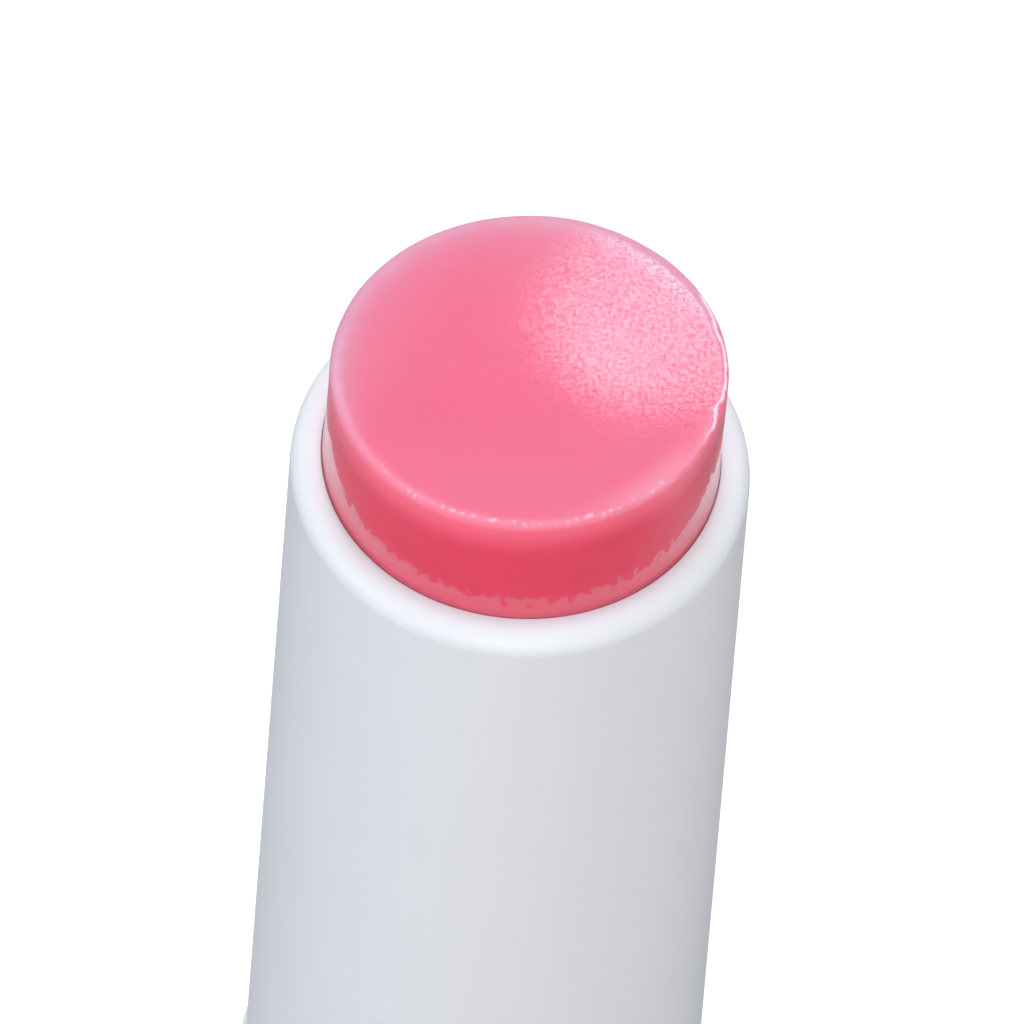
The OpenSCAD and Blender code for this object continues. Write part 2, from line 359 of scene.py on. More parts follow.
class Nodes:
    """A node tree, built one node at a time."""

    def __init__(self, tree):
        self.tree = tree
        self.tree.nodes.clear()

    def node(self, kind, settings=None, inputs=None):
        """Adds a node, sets it and then gives its sockets their values or links."""
        made = self.tree.nodes.new(kind)
        for name, value in (settings or {}).items():
            setattr(made, name, value)
        for key, value in (inputs or {}).items():
            self.feed(made.inputs[key], value)
        return made

    def feed(self, target, value):
        if isinstance(value, Value):
            value = value.socket
        if isinstance(value, bpy.types.NodeSocket):
            self.tree.links.new(value, target)
        elif target.type == "RGBA":
            target.default_value = (*tuple(value)[:3], 1.0)
        else:
            target.default_value = value

    def seen(self):
        """1 for what the camera sees, directly or through clear matter, and 0 for the light on the object."""
        path = self.node("ShaderNodeLightPath")
        direct = Value(self, path.outputs["Is Camera Ray"])
        return direct.most(Value(self, path.outputs["Is Transmission Ray"]))


class Finish(Nodes):
    """A material's nodes, which vary with the place in the object's own coordinates."""

    def __init__(self, name):
        self.material = bpy.data.materials.new(name)
        self.material.use_nodes = True
        super().__init__(self.material.node_tree)
        self.place = self.node("ShaderNodeTexCoord").outputs["Object"]

    def noise(self, scale, detail=2.0, roughness=0.5, stretch=None):
        """Fractal noise of about 0 to 1 with features 1 / scale metres across."""
        place = self.place
        if stretch:
            place = self.node("ShaderNodeMapping", {}, {"Vector": place, "Scale": stretch}).outputs[0]
        inputs = {"Vector": place, "Scale": scale, "Detail": detail, "Roughness": roughness}
        return Value(self, self.node("ShaderNodeTexNoise", {}, inputs).outputs[0])

    def axes(self):
        """The point's X, Y and Z in metres."""
        split = self.node("ShaderNodeSeparateXYZ", {}, {0: self.place})
        return [Value(self, socket) for socket in split.outputs]

    def attribute(self, name):
        return Value(self, self.node("ShaderNodeAttribute", {"attribute_name": name}).outputs["Fac"])

    def mix(self, factor, a, b):
        made = self.node("ShaderNodeMix", {"data_type": "RGBA"}, {0: factor, 6: a, 7: b})
        return made.outputs[2]

    def bump(self, height, distance, strength=1.0, under=None):
        inputs = {"Height": height, "Distance": distance, "Strength": strength}
        if under is not None:
            inputs["Normal"] = under
        return self.node("ShaderNodeBump", {}, inputs).outputs[0]

    def close(self, inputs, constants):
        """Ends the tree in a Principled surface and returns the material."""
        shader = self.node("ShaderNodeBsdfPrincipled", {}, {**constants, **inputs})
        return self.close_with(shader)

    def close_with(self, shader):
        """Ends the tree in any surface shader and returns the material."""
        self.node("ShaderNodeOutputMaterial", {}, {0: shader.outputs[0]})
        return self.material


def polypropylene(name, colour, roughness):
    """Satin moulded polypropylene: faint clouding, a fine matt grain and slight draw marks along the axis."""
    finish = Finish(name)
    cloud = finish.noise(160, 3)
    draw = finish.noise(900, 3, 0.6, stretch=(1, 1, 0.03))
    grain = finish.noise(9000, 2)
    ripple = finish.noise(420, 2)
    tone = cloud * 0.6 + draw * 0.4
    darker = tuple(0.985 * channel for channel in colour)
    base = finish.mix(tone.fade(0.3, 0.7), darker, colour)
    rough = roughness + (draw - 0.5) * 0.06 + (cloud - 0.5) * 0.05
    normal = finish.bump(grain, 0.000004, 0.5)
    normal = finish.bump(ripple, 0.000004, 0.5, normal)
    normal = finish.bump(draw, 0.000003, 0.4, normal)
    return finish.close(
        {"Base Color": base, "Roughness": rough, "Normal": normal},
        {"Subsurface Weight": 0.12, "Subsurface Radius": WHITE, "Subsurface Scale": 0.0006, "IOR": 1.49},
    )


def clear_polypropylene(name, colour):
    """Unfilled polypropylene of the hidden pieces, a little glossier and with softer scuffs."""
    finish = Finish(name)
    flow = finish.noise(300, 4, 0.6)
    scuffs = finish.noise(2600, 3, 0.7, stretch=(1, 1, 0.2))
    base = finish.mix(flow.fade(0.25, 0.75), tuple(0.9 * channel for channel in colour), colour)
    rough = 0.3 + (scuffs - 0.5) * 0.2 + flow * 0.06
    normal = finish.bump(scuffs, 0.000008, 0.5)
    return finish.close(
        {"Base Color": base, "Roughness": rough, "Normal": normal},
        {"Subsurface Weight": 0.2, "Subsurface Radius": WHITE, "Subsurface Scale": 0.0008, "IOR": 1.49},
    )


def tinted_wax(name, sizes, crest_z):
    """Cast tinted wax. The poured face is satin, with an orange-peel skin, an oiled patch with pale painted
    grain and edges of painted sheen. The side is redder, painted lighter below the top edge as a painted glow,
    glossy in a ragged band above the tube's rim that is painted paler as a painted reflection, and painted
    darker at the rim's level as a painted shadow ring."""
    painted_glow_depth = 1.6 * MM
    full_painted_glow_depth = 0.1 * MM
    band_height = 0.85 * MM
    band_raggedness = 1.6 * MM
    band_edge = 0.06 * MM
    painted_shadow_ends = 0.3 * MM, 0.16 * MM
    painted_shadow_starts = -0.25 * MM, -0.1 * MM
    peel_depth = 0.000009
    streak_depth = 0.000011
    finish = Finish(name)
    x, y, z = finish.axes()
    depth = crest_z - z + x * math.tan(sizes.lean) - y * math.tan(sizes.fall)
    cloud = finish.noise(330, 3)
    streak = finish.noise(3600, 2, 0.5, stretch=(1, 1, 0.7))
    peel = finish.noise(9200, 1.5, 0.45)
    thin = finish.attribute("thin")
    torn_and_painted_highlight = finish.attribute("scraped")
    oiled = finish.attribute("oiled")
    top = finish.attribute("top")
    deep = tuple(channel * scale for channel, scale in zip(sizes.colour, (0.95, 0.86, 0.88)))
    side = finish.mix(cloud.fade(0.3, 0.7), deep, sizes.colour)
    deep_top = tuple(0.97 * channel for channel in sizes.top_colour)
    face = finish.mix(cloud.fade(0.25, 0.75), deep_top, sizes.top_colour)
    # Painted glow: the side is painted lighter towards its top edge, standing in for light from within the
    # wax.
    base = finish.mix(depth.fade(painted_glow_depth, full_painted_glow_depth) * 0.9, side, sizes.painted_glow_colour)
    # Painted highlight: the grain of the oiled patch is painted pale where it catches the light.
    face = finish.mix(peel.fade(0.35, 0.65) * oiled * 0.12, face, sizes.pale)
    base = finish.mix(top, base, face)
    # Painted sheen: the back, left and front of the top face are painted pale where they reflect the light.
    base = finish.mix(thin, base, sizes.pale)
    # Scrapes and painted highlight: the ridge and crumbs of the scrapes, and the painted highlight along the
    # front of the top edge.
    base = finish.mix(torn_and_painted_highlight, base, sizes.scraped)
    patch = oiled * (0.97 + (peel - 0.5) * (2.2 + (1.0 - oiled) * 4.8))
    facing = (0.0 - y / (x * x + y * y) ** 0.5).most(0.3)
    above_rim = z - RIM_Z
    above_band = above_rim + (streak - 0.5) * band_raggedness - band_height / facing**0.75
    gloss_and_painted_reflection = above_band.fade(band_edge, -band_edge)
    # Painted shadow: a dark ring on the side at the rim's level, darkest at the left and right, where the gap
    # to the bore is in shade.
    ring = above_rim.fade(*painted_shadow_ends) * above_rim.fade(*painted_shadow_starts) * (1.15 - facing * facing)
    painted_shadow_colour = tuple(0.62 * channel for channel in sizes.colour)
    # Painted reflection: the glossy band is painted paler, most where it faces the front.
    base = finish.mix((1.0 - top) * gloss_and_painted_reflection * facing * 0.13, base, sizes.pale)
    # Painted shadow: the ring is painted darker.
    base = finish.mix((1.0 - top) * ring * 0.85, base, painted_shadow_colour)
    coat = (1.0 - top) * (0.12 + gloss_and_painted_reflection * 0.88) * (1.0 - ring * 0.8) + patch * top
    rough = 0.32 + top * 0.16 + (streak - 0.5) * 0.04
    normal = finish.bump(peel * top, peel_depth)
    normal = finish.bump(streak * (1.0 - top), streak_depth, 1.0, normal)
    return finish.close(
        {"Base Color": base, "Roughness": rough, "Coat Weight": coat, "Normal": normal},
        {
            "Subsurface Weight": 0.6,
            "Subsurface Radius": (1.0, 0.35, 0.4),
            "Subsurface Scale": 0.0012,
            "IOR": 1.45,
            "Specular IOR Level": 0.22,
            "Coat Roughness": 0.13,
            "Coat IOR": 1.5,
        },
    )


# Mesh building


def lathe(points, steps):
    """A bmesh turned about Z from a closed list of (radius, height) points."""
    made = bmesh.new()
    verts = [made.verts.new((radius, 0, height)) for radius, height in points]
    edges = [made.edges.new(pair) for pair in zip(verts, verts[1:] + verts[:1])]
    bmesh.ops.spin(
        made, geom=verts + edges, cent=(0, 0, 0), axis=(0, 0, 1), angle=math.tau, steps=steps, use_merge=True
    )
    bmesh.ops.remove_doubles(made, verts=made.verts, dist=1e-7)
    bmesh.ops.recalc_face_normals(made, faces=made.faces)
    return made


def round_ring(made, radius, height, size, segments):
    """Rounds the circular edge at that radius and height."""

    def on_ring(vert):
        return abs(math.hypot(vert.co.x, vert.co.y) - radius) < 2e-6 and abs(vert.co.z - height) < 2e-6

    ring = [edge for edge in made.edges if on_ring(edge.verts[0]) and on_ring(edge.verts[1])]
    if not ring:
        raise RuntimeError(f"no ring at radius {radius * 1000:.3f} and height {height * 1000:.3f} mm")
    bmesh.ops.bevel(
        made,
        geom=ring,
        offset=size,
        offset_type="OFFSET",
        segments=segments,
        profile=0.5,
        affect="EDGES",
        material=-1,
        clamp_overlap=True,
    )


def rib(made, angle, middle_r, width, depth, low_z, high_z, slope):
    """Adds a straight rib that stands at an angle round Z, with its inner edge leaning by slope."""
    corners = bmesh.ops.create_cube(made, size=1.0)["verts"]
    bmesh.ops.scale(made, vec=(depth, width, high_z - low_z), verts=corners)
    bmesh.ops.translate(made, vec=(middle_r, 0, (low_z + high_z) / 2), verts=corners)
    for vert in corners:
        if vert.co.x < middle_r:
            vert.co.x -= (vert.co.z - low_z) * slope
    bmesh.ops.rotate(made, cent=(0, 0, 0), matrix=Matrix.Rotation(angle, 3, "Z"), verts=corners)


def finish_piece(made, name, body, material, replaced, sharp=30):
    """Turns a bmesh into a shaded piece that rides on a body and stands for a CAD node."""
    mesh = bpy.data.meshes.new(name)
    made.to_mesh(mesh)
    made.free()
    mesh.shade_smooth()
    mesh.set_sharp_from_angle(angle=math.radians(sharp))
    piece = bpy.data.objects.new(name, mesh)
    bpy.context.scene.collection.objects.link(piece)
    mesh.materials.append(material)
    smooth = piece.modifiers.new("Even shading", "WEIGHTED_NORMAL")
    smooth.keep_sharp = True
    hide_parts(replaced)
    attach(piece, body)
    return piece


def dress_node(node, material):
    """Gives a CAD node a procedural material."""
    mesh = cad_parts[node].data
    mesh.materials.clear()
    mesh.materials.append(material)


# Pieces


class LIPBALM_OT_barrel(Operator):
    """Turn the white tube with its rounded rim, cap seat, snap bead, shoulder and guide ribs"""

    bl_idname = "lipbalm.barrel"
    bl_label = "Barrel"

    def execute(self, context):
        sizes = context.scene.lipbalm_barrel
        seat_proud = 0.14 * MM
        seat_length = 3.2 * MM
        bead_rise = 0.3 * MM
        bead_edge = 0.12 * MM
        shoulder_edge = 0.45 * MM
        foot_edge = 0.3 * MM
        seat_edge = 0.06 * MM
        rib_width = 0.9 * MM
        rib_depth = 0.8 * MM
        shoulder_z = RIM_Z - sizes.neck_length
        seat_r = sizes.rim_radius + sizes.neck_length * DRAFT + seat_proud
        seat_z = shoulder_z + seat_length
        under_seat_z = seat_z + seat_proud
        bead_z = seat_z + 0.8 * MM
        bead_low_z = bead_z + bead_rise
        bead_high_z = bead_z + 2 * bead_rise
        bead_end_z = bead_z + 3 * bead_rise
        floor_z = BARREL_FOOT_Z + 1.5 * MM
        floor_top_z = floor_z + 1.6 * MM
        recess_r = BODY_R - 1.0 * MM
        hole_r = 2.56 * MM

        def neck(z):
            return sizes.rim_radius + (RIM_Z - z) * DRAFT

        made = lathe(
            [
                (BODY_R, BARREL_FOOT_Z), (BODY_R, shoulder_z), (seat_r, shoulder_z), (seat_r, seat_z),
                (neck(under_seat_z), under_seat_z), (neck(bead_z), bead_z),
                (seat_r, bead_low_z), (seat_r, bead_high_z), (neck(bead_end_z), bead_end_z),
                (sizes.rim_radius, RIM_Z), (sizes.bore_radius, RIM_Z), (sizes.bore_radius, floor_top_z),
                (hole_r, floor_top_z), (hole_r, floor_z), (recess_r, floor_z), (recess_r, BARREL_FOOT_Z),
            ],
            sizes.steps,
        )
        round_ring(made, sizes.rim_radius, RIM_Z, sizes.lip_outer, 14)
        round_ring(made, sizes.bore_radius, RIM_Z, sizes.lip_inner, 4)
        round_ring(made, BODY_R, shoulder_z, shoulder_edge, 8)
        round_ring(made, BODY_R, BARREL_FOOT_Z, foot_edge, 4)
        round_ring(made, seat_r, seat_z, seat_edge, 3)
        round_ring(made, seat_r, bead_low_z, bead_edge, 3)
        round_ring(made, seat_r, bead_high_z, bead_edge, 3)
        rib_top_z = RIM_Z - RIB_DROP
        for quarter in range(4):
            angle = quarter * math.pi / 2
            rib(made, angle, sizes.bore_radius, rib_width, rib_depth, floor_top_z, rib_top_z, 0)
        plastic = polypropylene("tube_polypropylene", sizes.colour, 0.42)
        finish_piece(made, "white_barrel", "tube", plastic, "barrel")
        return {"FINISHED"}


class LIPBALM_OT_balm(Operator):
    """Cast the column of balm with its rounded and scraped top edge, its dished face and the screw's bore"""

    bl_idname = "lipbalm.balm"
    bl_label = "Balm"

    def execute(self, context):
        sizes = context.scene.lipbalm_balm
        crest_z = RIM_Z + sizes.crest_above_rim
        made = self.column(sizes, crest_z)
        self.cut_grooves(made, sizes)
        marks = self.shape_head(made, sizes, crest_z)
        wax = tinted_wax("tinted_wax", sizes, crest_z)
        piece = finish_piece(made, "pink_balm", "carriage", wax, "balm", 50)
        for name, values in marks.items():
            piece.data.attributes.new(name, "FLOAT", "POINT").data.foreach_set("value", values)
        return {"FINISHED"}

    def column(self, sizes, crest_z):
        """The straight column with a square top, in rows that are fine where it shows."""
        hub_r = 3.39 * MM
        hub_top_z = CARRIER_Z + 5.63 * MM
        screw_r = 2.36 * MM
        screw_room_z = SCREW_TOP_Z + sizes.crest_above_rim + 0.26 * MM
        cup_r = 5.23 * MM
        cup_top_z = CARRIER_TOP_Z + 0.03 * MM
        groove_z = groove_top(sizes)
        groove_run_out = 0.45 * MM
        border = 1.1 * MM
        points = [(0.0, screw_room_z), (screw_r, screw_room_z), (screw_r, hub_top_z), (hub_r, hub_top_z)]
        points += [(hub_r, BALM_LOW_Z), (cup_r, BALM_LOW_Z), (cup_r, cup_top_z), (BALM_R, cup_top_z)]
        points += [(BALM_R, z) for z in spaced(cup_top_z, groove_z - groove_run_out, 11)[1:]]
        points += [(BALM_R, groove_z), (BALM_R, groove_z + 0.5 * MM)]
        points += [(BALM_R, z) for z in spaced(RIM_Z - HEAD_START, crest_z - EDGE, 34)]
        for angle in spaced(0.0, math.pi / 2, 9)[1:]:
            points.append((BALM_R - EDGE + EDGE * math.cos(angle), crest_z - EDGE + EDGE * math.sin(angle)))
        points += [(radius, crest_z) for radius in spaced(BALM_R - EDGE, BALM_R - border, 26)[1:]]
        points += [(radius, crest_z) for radius in spaced(BALM_R - border, 0.0, 34)[1:]]
        return lathe(points, sizes.steps)

    def cut_grooves(self, made, sizes):
        """Presses the four flat-floored grooves that run on the tube's guide ribs."""
        half_width = 0.6 * MM
        floor_r = 5.53 * MM
        inner_r = BALM_R - 0.01 * MM
        top_z = groove_top(sizes) - 0.02 * MM
        for vert in made.verts:
            radius = math.hypot(vert.co.x, vert.co.y)
            if radius < inner_r or vert.co.z > top_z:
                continue
            angle = math.atan2(vert.co.y, vert.co.x)
            middle = round(angle / (math.pi / 2)) * math.pi / 2
            across = radius * math.sin(angle - middle)
            if abs(across) < half_width:
                vert.co.x = floor_r * math.cos(middle) - across * math.sin(middle)
                vert.co.y = floor_r * math.sin(middle) + across * math.cos(middle)

    def shape_head(self, made, sizes, crest_z):
        """Rounds, dishes and leans the exposed head, and flares the column below it. Returns, for each vertex,
        how much it belongs to the top face, its painted sheen, its scrapes with the painted edge highlight,
        and how oiled."""
        bore_r = 2.5 * MM
        dish_border = 1.0 * MM
        ridge_height = 0.05 * MM
        crumb_height = 0.035 * MM
        edge_waviness = 0.03 * MM
        face_waviness = 0.02 * MM
        side_waviness = 0.008 * MM
        side_border = 0.3 * MM
        near = 0.01 * MM
        marks = {name: [0.0] * len(made.verts) for name in ("top", "thin", "scraped", "oiled")}
        lean, fall = math.tan(sizes.lean), math.tan(sizes.fall)
        seed = sizes.seed
        flare_low_z = groove_top(sizes) + 0.1 * MM
        start_z = RIM_Z - HEAD_START
        side_top = crest_z - EDGE
        face_r = BALM_R - EDGE
        for index, vert in enumerate(made.verts):
            x, y, z = vert.co
            radius = math.hypot(x, y)
            angle = math.atan2(y, x)
            if z < start_z - near or (radius < bore_r and z < crest_z - near):
                if z > flare_low_z and radius > bore_r:
                    vert.co.x *= 1 + sizes.flare / radius
                    vert.co.y *= 1 + sizes.flare / radius
                continue
            reach, drop = edge_size(angle, seed)
            rise = smooth((z - start_z) / (side_top - start_z))
            low_r = BALM_R - reach
            if radius <= face_r + 1e-8:
                height = 0.0
                radius *= low_r / face_r
            elif z >= side_top - 1e-8:
                height = -drop * (1 - (z - side_top) / EDGE)
                radius = low_r + reach * (radius - face_r) / EDGE
            else:
                side_length = sizes.crest_above_rim + HEAD_START - drop
                height = -drop - side_length * (side_top - z) / (side_top - start_z)
            turned = max(0.0, min(1.0, -height / drop))
            spread = smooth((radius - (low_r - dish_border)) / dish_border)
            on_top = 1.0 if z >= crest_z - 1e-8 else 0.0
            height -= sizes.dish * (1 - spread) * on_top
            height -= roll_off(angle, radius, low_r) * rise
            ridge = burr(angle, radius, seed) * smooth((height + 0.2 * MM) / (0.1 * MM))
            height += ridge * ridge_height
            edge_wave = uneven(math.cos(angle) * 3.0, math.sin(angle) * 3.0, seed) * rise
            height += edge_wave * edge_waviness * (radius / BALM_R) ** 3
            height += uneven(x / MM * 0.3, y / MM * 0.3, seed + 9) * face_waviness * on_top
            crumbs = crumb(angle, radius, low_r, seed) * smooth((height + 0.25 * MM) / (0.15 * MM))
            height += crumbs * crumb_height
            side_wave = uneven(math.cos(angle) * 6.0, math.sin(angle) * 6.0 + z / MM * 0.7, seed + 5)
            at_side = rise * smooth((radius - low_r + side_border) / side_border)
            radius += (side_wave - 0.5) * side_waviness * at_side
            radius += sizes.flare * (1 - smooth((z - RIM_Z + 0.1 * MM) / (0.7 * MM)))
            vert.co.x = radius * math.cos(angle) + sizes.shift * rise
            vert.co.y = radius * math.sin(angle)
            vert.co.z = crest_z + height + (x * lean - y * fall) * rise
            marks["top"][index] = smooth(1 - turned)
            marks["thin"][index] = min(1.0, painted_edge_sheen(angle, radius, low_r, height, seed))
            # Scrapes, and the painted highlight along the front of the top edge.
            marks["scraped"][index] = min(1.0, ridge + crumbs + painted_edge_highlight(angle, radius, low_r, height))
            marks["oiled"][index] = oil(radius * math.cos(angle), radius * math.sin(angle)) * on_top
        return marks


def spaced(low, high, count):
    """The ends of that many equal steps from low to high, both of these included."""
    return [low + (high - low) * index / count for index in range(count + 1)]


def groove_top(sizes):
    """Level of the tops of the balm's grooves. Wound down to the rim, they still clear the guide ribs."""
    clearance = 0.6 * MM
    return RIM_Z - RIB_DROP + sizes.crest_above_rim + clearance


def uneven(x, y, seed):
    """Smooth noise of about -1 to 1 that is the same in each run."""
    return noise.noise(Vector((x, y, seed * 17.3)))


def smooth(value):
    """0 to 1 with a soft start and end."""
    value = max(0.0, min(1.0, value))
    return value * value * (3 - 2 * value)


def bell(value, middle, width):
    """1 at the middle and near 0 beyond twice the width."""
    return math.exp(-(((value - middle) / width) ** 2))


def edge_size(angle, seed):
    """How far the top edge's rounding reaches in from the side and down it. It is crisper in front."""
    back = math.sin(angle)
    wander = 1 + 0.12 * uneven(math.cos(angle) * 5.0, math.sin(angle) * 5.0, seed + 2)
    reach = (0.24 + 0.08 * back + 0.08 * bell(math.degrees(angle), 52, 24)) * MM
    drop = (0.18 + 0.03 * back) * MM
    return reach * wander, drop * wander


def roll_off(angle, radius, low_r):
    """How far the face sinks towards its back and right edge."""
    depth = 0.05 * MM
    border = 1.3 * MM
    strength = 0.5 + 0.5 * math.sin(angle + 0.5)
    outward = max(0.0, min(1.0, (radius - (low_r - border)) / border))
    return depth * strength * outward**2.5


def burr(angle, radius, seed):
    """How much of the scraped ridge on the right stands at that place, 0 to 1."""
    front_end, back_end = -58, 36
    degrees = math.degrees(angle)
    if not front_end < degrees < back_end:
        return 0.0
    faint = 0.12 * smooth((degrees - front_end) / 14)
    strong = 0.88 * smooth((degrees + 26) / 12)
    fade = (faint + strong) * smooth((back_end - degrees) / 5)
    notches = (0.13 * bell(degrees, -11, 3.2) + 0.08 * bell(degrees, 18, 4)) * MM
    slow = 0.05 * uneven(degrees * 0.21, 0.5, seed + 20)
    quick = 0.035 * uneven(degrees * 0.9, 2.5, seed + 22)
    centre = BALM_R - 0.1 * MM - notches + (slow + quick) * MM
    width = (0.05 + 0.03 * uneven(degrees * 0.5, 8.5, seed + 21)) * MM
    return fade * bell(radius, centre, width)


def crumb(angle, radius, low_r, seed):
    """The small pale beads and nicks along the front of the top edge, 0 to 1."""
    strongest = 0.4
    degrees = math.degrees(angle)
    front = smooth((degrees + 150) / 40) * smooth((-30 - degrees) / 25)
    beads = max(0.0, uneven(math.cos(angle) * 38.0, math.sin(angle) * 38.0, seed + 3) * 1.9 - 0.1)
    clumps = smooth(0.6 + 1.4 * uneven(math.cos(angle) * 5.0, math.sin(angle) * 5.0, seed + 8))
    centre = low_r + 0.03 * MM + uneven(degrees * 0.3, 3.5, seed + 4) * 0.16 * MM
    width = (0.05 + 0.03 * uneven(degrees * 0.4, 1.5, seed + 6)) * MM
    return min(strongest, front * beads * clumps * bell(radius, centre, width))


def painted_edge_highlight(angle, radius, low_r, height):
    """Painted highlight: the soft pale line along the front of the top edge, which is broad at the right, 0 to
    1.
    """
    front = smooth((-math.sin(angle) + 0.35) / 0.6)
    line = 0.19 * front * bell(radius, low_r + 0.02 * MM, 0.16 * MM)
    right = bell(math.degrees(angle), -44, 22)
    broad = 0.22 * right * bell(radius, low_r - 0.05 * MM, 0.45 * MM)
    return max(line, broad) * above_side(height)


def above_side(height):
    """1 at the top edge and above it, and 0 further down the side. The height is counted from the crest."""
    return smooth((height + 0.35 * MM) / (0.2 * MM))


def painted_edge_sheen(angle, radius, low_r, height, seed):
    """Painted sheen: the wide pale band along the back and the left of the top face where they reflect the
    light, and its paler front, 0 to 1.
    """
    degrees = math.degrees(angle)
    inward = max(0.0, low_r - radius)
    back = smooth(math.sin(angle) - 0.35 * math.cos(angle) + 0.55)
    at_edge = math.exp(-inward / (0.3 * MM))
    behind = back * (0.62 * at_edge + 0.47 * math.exp(-inward / (1.6 * MM)))
    # Painted sheen at the right of the back edge.
    painted_sheen_back_right = 0.3 * bell(degrees, 42, 22) * math.exp(-inward / (1.3 * MM))
    grain = 0.3 * uneven(math.cos(angle) * 14.0, math.sin(angle) * 14.0, seed + 11) * at_edge
    front = 0.13 * smooth((-radius * math.sin(angle) / MM - 0.5) / 4.0)
    return max(front, (behind + painted_sheen_back_right) * (1 + grain)) * above_side(height)


def oil(x, y):
    """How oiled the face is, 0 to 1: a patch at the right and back with a soft border to the left and the
    front, wettest in its front left part, and a faint film round it."""
    away = math.hypot(x - 3.9 * MM, y - 2.3 * MM)
    wettest = bell(math.hypot(x - 2.6 * MM, y - 0.4 * MM), 0, 2.2 * MM)
    patch = smooth((4.75 * MM - away) / (2.4 * MM)) * (0.58 + 0.42 * wettest)
    film = 0.12 * smooth((6.4 * MM - away) / (3.0 * MM))
    return patch + film * (1 - patch)


class LIPBALM_OT_dial(Operator):
    """Turn the knurled dial with its collar and the moulded ring underneath"""

    bl_idname = "lipbalm.dial"
    bl_label = "Dial"

    def execute(self, context):
        sizes = context.scene.lipbalm_dial
        collar_r = BODY_R - 1.1 * MM
        cavity_r = collar_r - 0.9 * MM
        socket_r = 3.694 * MM
        drive_r = 2.214 * MM
        base_t = 1.6 * MM
        ring_depth = 0.5 * MM
        steps = sizes.grips * 16
        wall = [(BODY_R, z) for z in spaced(0, sizes.height, 10)]
        made = lathe(
            [
                (0, base_t), (0, 0), (socket_r, 0), (socket_r, ring_depth),
                (cavity_r, ring_depth), (cavity_r, 0), *wall,
                (collar_r, sizes.height), (collar_r, COLLAR_TOP_Z), (cavity_r, COLLAR_TOP_Z),
                (cavity_r, base_t), (socket_r, base_t), (socket_r, COLLAR_TOP_Z),
                (drive_r, COLLAR_TOP_Z), (drive_r, base_t),
            ],
            steps,
        )
        round_ring(made, BODY_R, sizes.height, sizes.edge_radius, 8)
        round_ring(made, BODY_R, 0, sizes.edge_radius, 8)
        self.knurl(made, sizes)
        plastic = polypropylene("dial_polypropylene", context.scene.lipbalm_barrel.colour, 0.4)
        finish_piece(made, "knurled_dial", "dial", plastic, "twist_dial", 40)
        return {"FINISHED"}

    def knurl(self, made, sizes):
        """Draws the wall in between the grip ribs."""
        core_r = BODY_R - sizes.grip_proud
        centre_r = BODY_R - sizes.grip_radius
        pitch = math.tau / sizes.grips
        for vert in made.verts:
            radius = math.hypot(vert.co.x, vert.co.y)
            if radius <= core_r + 1e-7:
                continue
            angle = math.atan2(vert.co.y, vert.co.x)
            off = angle - round(angle / pitch) * pitch
            across = centre_r * math.sin(off)
            if abs(across) < sizes.grip_radius:
                allowed = centre_r * math.cos(off) + math.sqrt(sizes.grip_radius**2 - across**2)
            else:
                allowed = core_r
            wanted = min(radius, max(core_r, allowed))
            vert.co.x *= wanted / radius
            vert.co.y *= wanted / radius


class LIPBALM_OT_cap(Operator):
    """Turn the slip-on cap with its snap ring and inner ribs"""

    bl_idname = "lipbalm.cap"
    bl_label = "Cap"

    def execute(self, context):
        sizes = context.scene.lipbalm_cap
        bore_r = BODY_R - sizes.wall
        ring_r = bore_r - sizes.ring_proud
        room_z = CAP_H - sizes.top_thickness
        ring_low, ring_high = 3.52 * MM, 3.82 * MM
        draft_z = ring_high + sizes.ring_proud
        top_r = bore_r - (room_z - draft_z) * DRAFT
        rib_low = 6.1 * MM
        rib_high = room_z + 0.4 * MM
        rib_width = 0.8 * MM
        rib_depth = 0.36 * MM
        rib_r = bore_r - 0.12 * MM - rib_low * DRAFT + rib_depth / 2
        steps = 192
        mouth_edge = 0.12 * MM
        inner_edge = 0.4 * MM
        made = lathe(
            [
                (BODY_R, 0), (BODY_R, CAP_H), (0, CAP_H), (0, room_z), (top_r, room_z), (bore_r, draft_z),
                (ring_r, ring_high), (ring_r, ring_low), (bore_r, ring_low - sizes.ring_proud), (bore_r, 0),
            ],
            steps,
        )
        round_ring(made, BODY_R, CAP_H, sizes.top_edge, 12)
        round_ring(made, BODY_R, 0, mouth_edge, 4)
        round_ring(made, bore_r, 0, mouth_edge, 4)
        round_ring(made, top_r, room_z, inner_edge, 4)
        for sixth in range(6):
            rib(made, sixth * math.pi / 3, rib_r, rib_width, rib_depth, rib_low, rib_high, DRAFT)
        bmesh.ops.translate(made, vec=(CAP_X, 0, 0), verts=made.verts)
        plastic = polypropylene("cap_polypropylene", sizes.colour, 0.4)
        finish_piece(made, "slip_on_cap", "cap", plastic, "cap")
        return {"FINISHED"}


class LIPBALM_OT_hidden_works(Operator):
    """Give the carrier and the lead screw, which lie inside the tube, their finish"""

    bl_idname = "lipbalm.hidden_works"
    bl_label = "Carrier and screw"

    def execute(self, context):
        colour = context.scene.lipbalm_barrel.colour
        dress_node("carrier", clear_polypropylene("carrier_polypropylene", colour))
        dress_node("lead_screw", clear_polypropylene("screw_polypropylene", colour))
        return {"FINISHED"}


